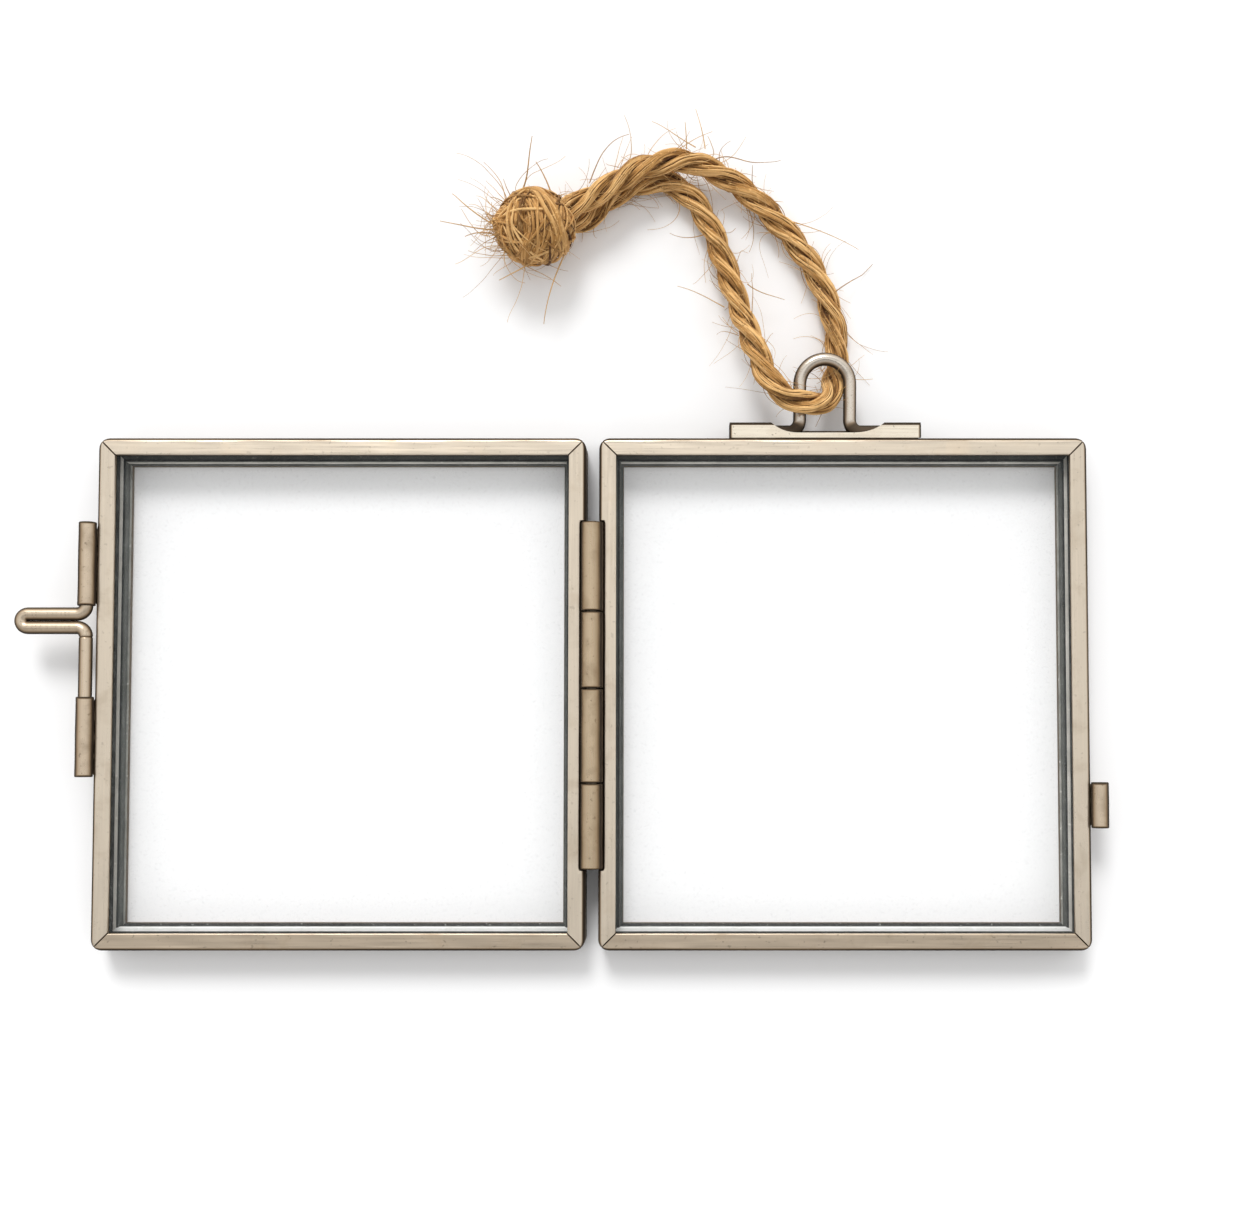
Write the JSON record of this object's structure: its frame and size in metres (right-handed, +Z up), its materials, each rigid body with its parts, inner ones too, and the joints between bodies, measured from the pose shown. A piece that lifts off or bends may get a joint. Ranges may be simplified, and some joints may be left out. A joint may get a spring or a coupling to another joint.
{
  "type": "photo frame ornament",
  "caption": "Hinged double-glass photo frame ornament that opens flat like a book, with a sliding wire bolt on its free edge and a wire hanging eye that carries a knotted jute cord.",
  "frame": {"origin": "on the surface it rests on, under the middle of the open metalwork's box, the cord not counted", "axes": "+X from the door leaf to the back leaf, +Y towards the hanging eye, +Z up out of the open faces"},
  "size_m": [0.149, 0.1106, 0.0106],
  "materials": {
    "plated_sheet": "pale antique plate, brushed and lightly tarnished",
    "plated_wire": "pale antique plate, drawn wire",
    "glass": "clear float glass",
    "glazing_strip": "dark matt strip",
    "jute": "natural twisted jute"
  },
  "bodies": {
    "back": {"back_rail_left": "plated_sheet", "back_rail_right": "plated_sheet", "back_rail_top": "plated_sheet", "back_rail_bottom": "plated_sheet", "back_glass": "glass", "back_glazing_strip": "glazing_strip", "hinge_knuckle_1": "plated_sheet", "hinge_knuckle_3": "plated_sheet", "hinge_pin": "plated_wire", "latch_keeper": "plated_sheet", "hanger_sleeve": "plated_sheet"},
    "door": {"door_rail_left": "plated_sheet", "door_rail_right": "plated_sheet", "door_rail_top": "plated_sheet", "door_rail_bottom": "plated_sheet", "door_glass": "glass", "door_glazing_strip": "glazing_strip", "hinge_knuckle_2": "plated_sheet", "hinge_knuckle_4": "plated_sheet", "latch_guide_upper": "plated_sheet", "latch_guide_lower": "plated_sheet"},
    "bolt": {"latch_bolt": "plated_wire"},
    "hanger": {"hanger_eye": "plated_wire", "cord": "jute", "cord_knot": "jute"}
  },
  "joints": [
    {"name": "door_hinge", "type": "hinge", "parent": "back", "child": "door", "pos_m": [0.00426, -0.00593, 0.0057], "axis": [0, 1, 0], "range_deg": [0, 180]},
    {"name": "bolt_slide", "type": "slide", "parent": "door", "child": "bolt", "axis": [0, -1, 0], "range_m": [0, 0.008]},
    {"name": "eye_swing", "type": "hinge", "parent": "back", "child": "hanger", "pos_m": [0.03626, 0.03005, 0.0039], "axis": [1, 0, 0], "range_deg": [0, 38]}
  ]
}
